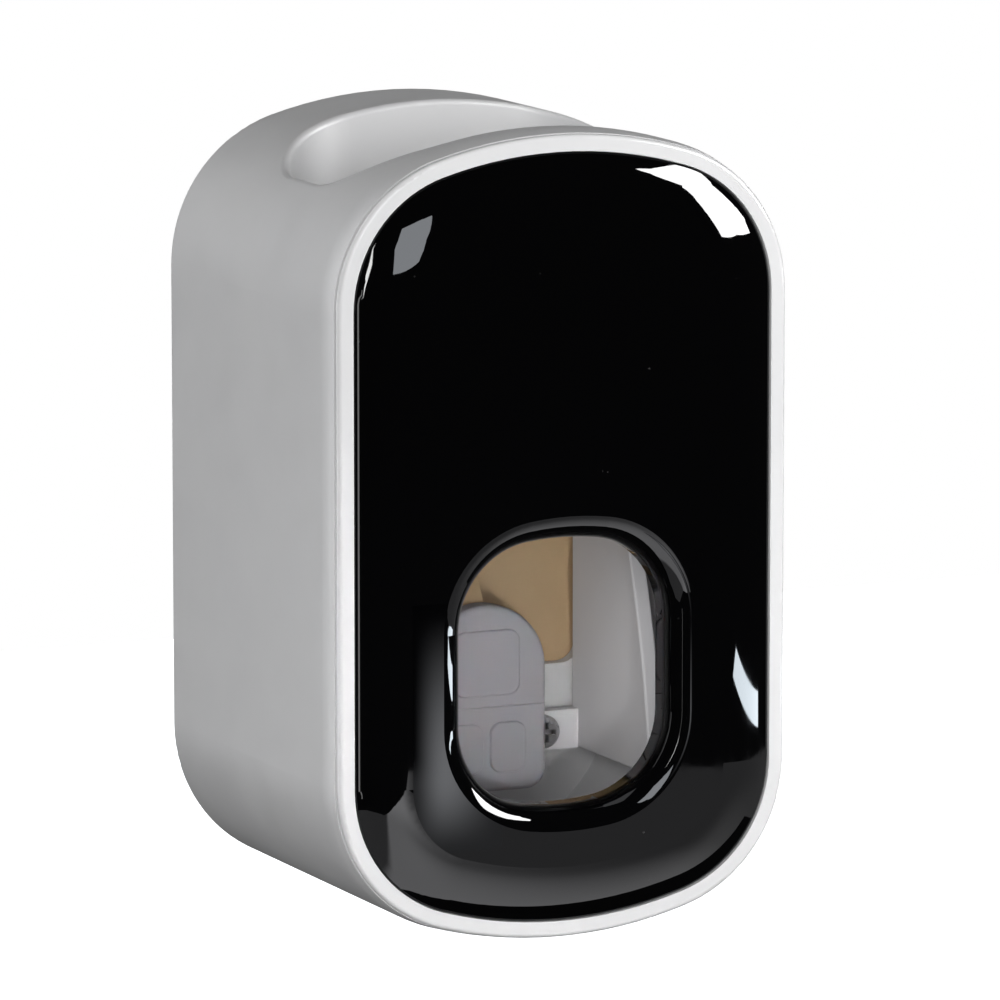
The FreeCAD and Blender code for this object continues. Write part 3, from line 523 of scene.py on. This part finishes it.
strip_reach = 0.25
strip_corners = [
    beyond((0.0260, -0.0628, -0.0169), 40.1, -10.1, strip_reach),
    beyond((0.0255, -0.0629, -0.0210), 36.7, -10.3, strip_reach),
    beyond((0.0301, -0.0618, -0.0291), 70.4, -10.6, strip_reach),
    beyond((0.0300, -0.0618, -0.0237), 70.1, -10.4, strip_reach)]
light_card("low_strip", strip_corners, glow("low_glow", radiance=18.0, colour=(0.84, 0.93, 1.0)))

haze_y = -0.198
haze_corners = [
    (0.033, haze_y, -0.033), (0.051, haze_y, -0.033), (0.051, haze_y, -0.073), (0.033, haze_y, -0.073)]
light_card("haze_card", haze_corners, haze())


def mirrored_floor():
    """The corners and faces of the floor that gloss shows: a sector of a ring below the part, turn by turn.
    Its near edge is a line in front of the part and a line on each side, and its far edge comes nearer
    degree by degree towards the left."""
    front_line = 0.208
    right_line = 0.45
    left_line = 0.35
    left_end = 0.42
    most_reach = 1.19
    ahead_reach = 0.88
    reach_per_degree = 0.021
    last_degree = -8
    tiny = 1e-6
    degrees = np.arange(-50, 91, 5)
    turn = np.radians(degrees)
    to_right = degrees > 0
    ahead = np.maximum(np.cos(turn), tiny)
    aside = np.abs(np.sin(turn)) + tiny
    near = np.minimum(front_line / ahead, np.where(to_right, right_line, left_line) / aside)
    far = np.minimum(most_reach, ahead_reach + reach_per_degree * np.maximum(degrees, last_degree))
    far = np.where(to_right, far, np.minimum(far, left_end / aside))
    reach = np.stack((near, far), axis=1)
    x = reach * np.sin(turn)[:, None]
    y = -reach * np.cos(turn)[:, None]
    corners = np.stack((x, y, np.full_like(x, floor_z)), axis=-1)
    first = 2 * np.arange(len(turn) - 1)
    faces = np.stack((first, first + 1, first + 3, first + 2), axis=-1)
    return corners.reshape(-1, 3).tolist(), faces.tolist()


gloss_corners, gloss_faces = mirrored_floor()
light_card("floor_in_gloss", gloss_corners, floor_glow(), gloss_faces)
soft_box(
    "side_card", part_front, [(-84.0, -8.0), (-84.0, 45.0), (-98.0, 45.0), (-98.0, -8.0)],
    radiance=1.4, colour=cool_white)
soft_box(
    "edge_card", part_front, [(-112.0, -15.0), (-112.0, 60.0), (-138.0, 60.0), (-138.0, -15.0)],
    radiance=6.0, colour=(0.97, 0.98, 1.0))
soft_box(
    "upper_card", part_front, [(-60.0, 68.0), (0.0, 64.0), (60.0, 68.0), (180.0, 84.0)],
    radiance=0.8, colour=cool_white)


def hang_lamp(lamp, target, azimuth, elevation, distance):
    """Puts a lamp a distance away from a target and aims it there. The lamp doesn't show in gloss."""
    holder = bpy.data.objects.new(lamp.name, lamp)
    holder.location = beyond(target, azimuth, elevation, distance)
    holder.rotation_euler = (holder.location - target).to_track_quat("Z", "Y").to_euler()
    holder.visible_glossy = False
    bpy.context.scene.collection.objects.link(holder)


def fill(name, azimuth, elevation, size, radiance, distance=1.4):
    """A soft square lamp of a given radiance that lights the shading."""
    lamp = bpy.data.lights.new(name, "AREA")
    lamp.shape = "SQUARE"
    lamp.size = size
    lamp.energy = math.pi * size ** 2 * radiance
    hang_lamp(lamp, Vector((0.0, -0.05, 0.0)), azimuth, elevation, distance)


fill("front_fill", azimuth=-35.0, elevation=8.0, size=0.8, radiance=5.5)
fill("key_fill", azimuth=42.0, elevation=10.0, size=0.16, radiance=5.6, distance=0.30)
fill("top_fill", azimuth=-10.0, elevation=78.0, size=0.9, radiance=0.6)
fill("right_fill", azimuth=75.0, elevation=20.0, size=0.8, radiance=2.0)
fill("back_fill", azimuth=180.0, elevation=4.0, size=0.9, radiance=5.0)

mouth_middle = Vector((0.0, -0.035, -0.020))
snoot = bpy.data.lights.new("mouth_snoot", "AREA")
snoot.size = 0.05
snoot.spread = math.radians(7.0)
snoot.energy = 0.0037
hang_lamp(snoot, mouth_middle, azimuth=-18.0, elevation=4.0, distance=0.6)

shading_level = 0.10
gloss_level = 0.015
backdrop_level = 1.0
world = bpy.data.worlds.new("surround")
bpy.context.scene.world = world
world.use_nodes = True
surround = world.node_tree
backdrop = surround.nodes["Background"]
backdrop.inputs["Color"].default_value = (1.0, 1.0, 1.0, 1.0)
seen = surround.nodes.new("ShaderNodeLightPath")
around = surround.nodes.new("ShaderNodeMapRange")
around.inputs["To Min"].default_value = shading_level
around.inputs["To Max"].default_value = gloss_level
level = surround.nodes.new("ShaderNodeMapRange")
level.inputs["To Max"].default_value = backdrop_level
surround.links.new(seen.outputs["Is Glossy Ray"], around.inputs["Value"])
surround.links.new(around.outputs["Result"], level.inputs["To Min"])
surround.links.new(seen.outputs["Is Camera Ray"], level.inputs["Value"])
surround.links.new(level.outputs["Result"], backdrop.inputs["Strength"])
bpy.context.scene.view_settings.view_transform = "Standard"

photo_stand = (-0.4844, -1.1056, 0.1889)
photo_aim = Vector((0.40845, 0.89913, -0.15730))
lens = bpy.data.cameras.new("photo_camera")
lens.sensor_width = 36.0
lens.lens = 299.4
lens.clip_start = 0.01
camera = bpy.data.objects.new("photo_camera", lens)
camera.location = photo_stand
camera.rotation_euler = photo_aim.to_track_quat("-Z", "Y").to_euler()
bpy.context.scene.collection.objects.link(camera)
bpy.context.scene.camera = camera
